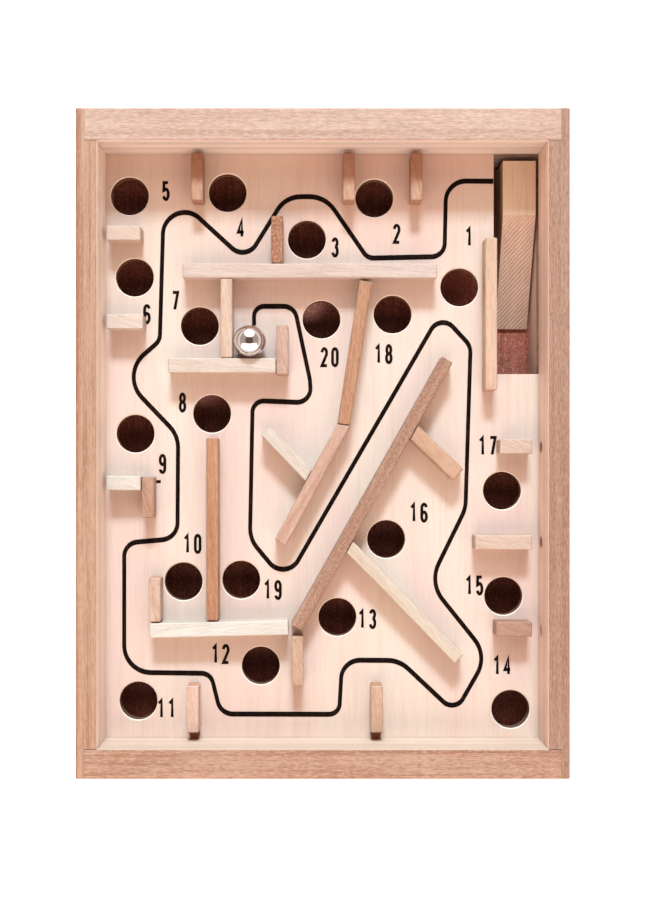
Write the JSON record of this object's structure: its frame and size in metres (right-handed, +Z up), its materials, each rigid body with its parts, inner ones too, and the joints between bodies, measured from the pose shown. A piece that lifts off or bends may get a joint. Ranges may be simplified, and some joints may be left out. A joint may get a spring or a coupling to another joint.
{
  "type": "tilt maze game",
  "caption": "Hand-held wooden tilt maze: an open tray with a drilled board, glued wall strips, a return ramp and a loose steel ball.",
  "frame": {"origin": "middle of the underside, on the surface that the tray rests on", "axes": "+Z up out of the open tray, +Y along the tray towards the ramp pocket's end, +X to the right across it, so the ramp pocket is in the +X +Y corner"},
  "size_m": [0.14, 0.19, 0.0295],
  "materials": {
    "rail_wood": "oiled straight-grained softwood, satin",
    "board_plywood": "pale plywood, thin satin lacquer",
    "base_hardboard": "reddish-brown hardboard, smooth side up",
    "ramp_wood": "bare wood with saw marks on the slope",
    "strip_pale": "bare pale wood strip",
    "strip_brown": "bare brown wood strip",
    "ball_steel": "polished bearing ball",
    "brad_steel": "bright wire nail",
    "print_ink": "black-brown screen-printed ink on the board"
  },
  "bodies": {
    "tray": {"frame_rail_left": "rail_wood", "frame_rail_right": "rail_wood", "frame_rail_far": "rail_wood", "frame_rail_near": "rail_wood", "maze_board": "board_plywood", "base_panel": "base_hardboard", "ramp": "ramp_wood", "wall_far_stub_left": "strip_pale", "wall_far_stub_middle": "strip_pale", "wall_far_stub_right": "strip_pale", "wall_near_stub_left": "strip_pale", "wall_near_stub_right": "strip_pale", "wall_left_stub_far": "strip_pale", "wall_left_stub_middle": "strip_pale", "wall_left_stub_near": "strip_pale", "wall_right_stub_far": "strip_pale", "wall_right_stub_middle": "strip_pale", "wall_right_stub_near": "strip_pale", "wall_long_bar": "strip_pale", "wall_finish_shelf": "strip_pale", "wall_low_bar": "strip_pale", "wall_ramp_guard": "strip_pale", "wall_inner_branch": "strip_pale", "wall_upper_branch": "strip_pale", "wall_lower_branch": "strip_pale", "wall_finish_left": "strip_pale", "wall_finish_right": "strip_pale", "wall_low_bar_post": "strip_pale", "wall_low_bar_tail": "strip_pale", "wall_inner_diagonal": "strip_pale", "wall_upper_post": "strip_brown", "wall_left_stub_post": "strip_brown", "wall_left_lane": "strip_brown", "wall_leaning": "strip_brown", "wall_long_diagonal": "strip_brown", "base_brad_left_1": "brad_steel", "base_brad_left_2": "brad_steel", "base_brad_left_3": "brad_steel", "base_brad_right_1": "brad_steel", "base_brad_right_2": "brad_steel", "base_brad_right_3": "brad_steel", "base_brad_near_1": "brad_steel", "base_brad_near_2": "brad_steel", "base_brad_far_1": "brad_steel", "base_brad_far_2": "brad_steel"},
    "ball": {"steel_ball": "ball_steel"}
  },
  "joints": [
    {"name": "ball_roll", "type": "slide", "parent": "tray", "child": "ball", "axis": [0, 1, 0], "range_m": [0, 0.013]}
  ]
}
